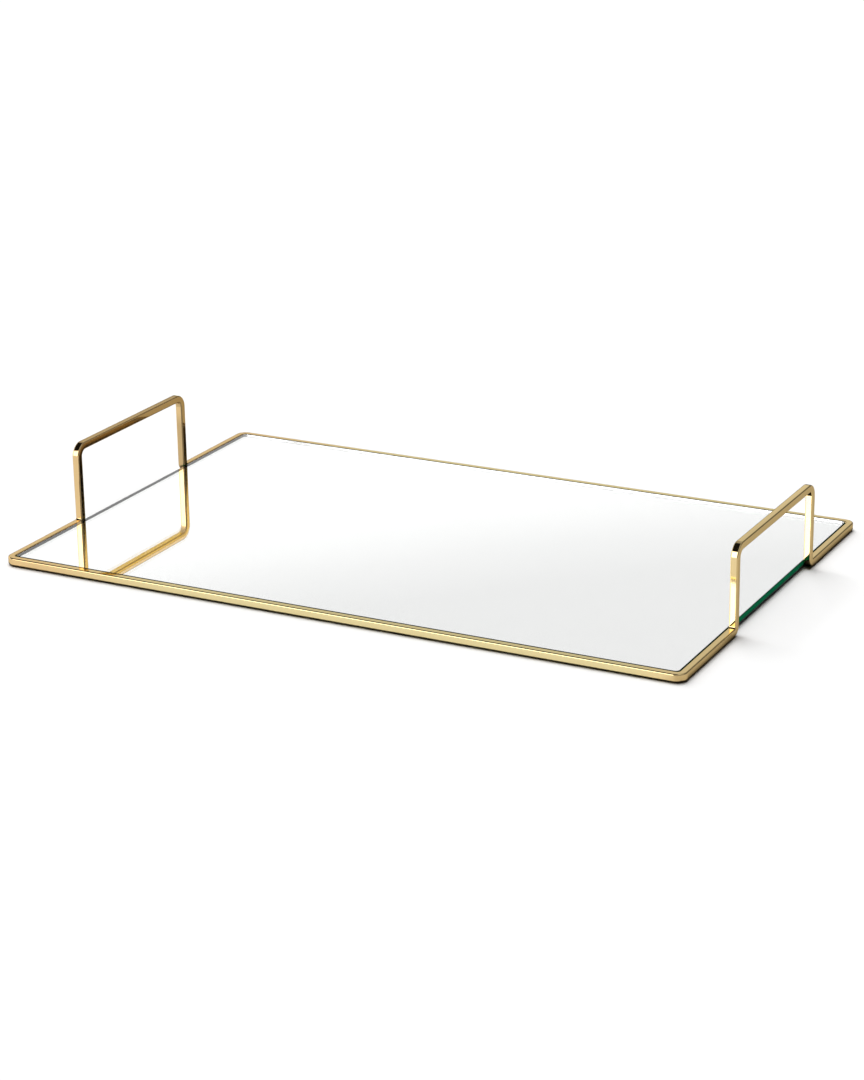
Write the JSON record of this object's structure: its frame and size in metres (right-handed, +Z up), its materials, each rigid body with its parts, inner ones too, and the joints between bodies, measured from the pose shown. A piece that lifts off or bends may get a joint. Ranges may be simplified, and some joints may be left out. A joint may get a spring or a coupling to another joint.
{
  "type": "vanity tray",
  "caption": "Rectangular mirrored vanity tray in a polished gold square-bar frame, with a fixed loop handle standing at each short end.",
  "frame": {"origin": "centre of the tray, on the surface that it stands on", "axes": "+X along the tray to the right handle, +Y from the front rail to the rear rail, +Z up"},
  "size_m": [0.48, 0.304, 0.0588],
  "materials": {
    "polished_gold": "polished, light gold",
    "silvered_glass": "clear float glass silvered on the back, with a green cut edge",
    "backing_film": "dull grey protective film",
    "pad_rubber": "matte black rubber"
  },
  "bodies": {
    "root": {"front_rail": "polished_gold", "rear_rail": "polished_gold", "left_handle": "polished_gold", "right_handle": "polished_gold", "mirror_glass": "silvered_glass", "mirror_backing_film": "backing_film", "corner_gusset_front_left": "polished_gold", "corner_gusset_front_right": "polished_gold", "corner_gusset_rear_left": "polished_gold", "corner_gusset_rear_right": "polished_gold", "corner_pad_front_left": "pad_rubber", "corner_pad_front_right": "pad_rubber", "corner_pad_rear_left": "pad_rubber", "corner_pad_rear_right": "pad_rubber", "rail_tab_front_left": "polished_gold", "rail_tab_front_right": "polished_gold", "rail_tab_rear_left": "polished_gold", "rail_tab_rear_right": "polished_gold", "rail_pad_front_left": "pad_rubber", "rail_pad_front_right": "pad_rubber", "rail_pad_rear_left": "pad_rubber", "rail_pad_rear_right": "pad_rubber", "foot_tab_front_left": "polished_gold", "foot_tab_front_right": "polished_gold", "foot_tab_rear_left": "polished_gold", "foot_tab_rear_right": "polished_gold"}
  },
  "joints": []
}
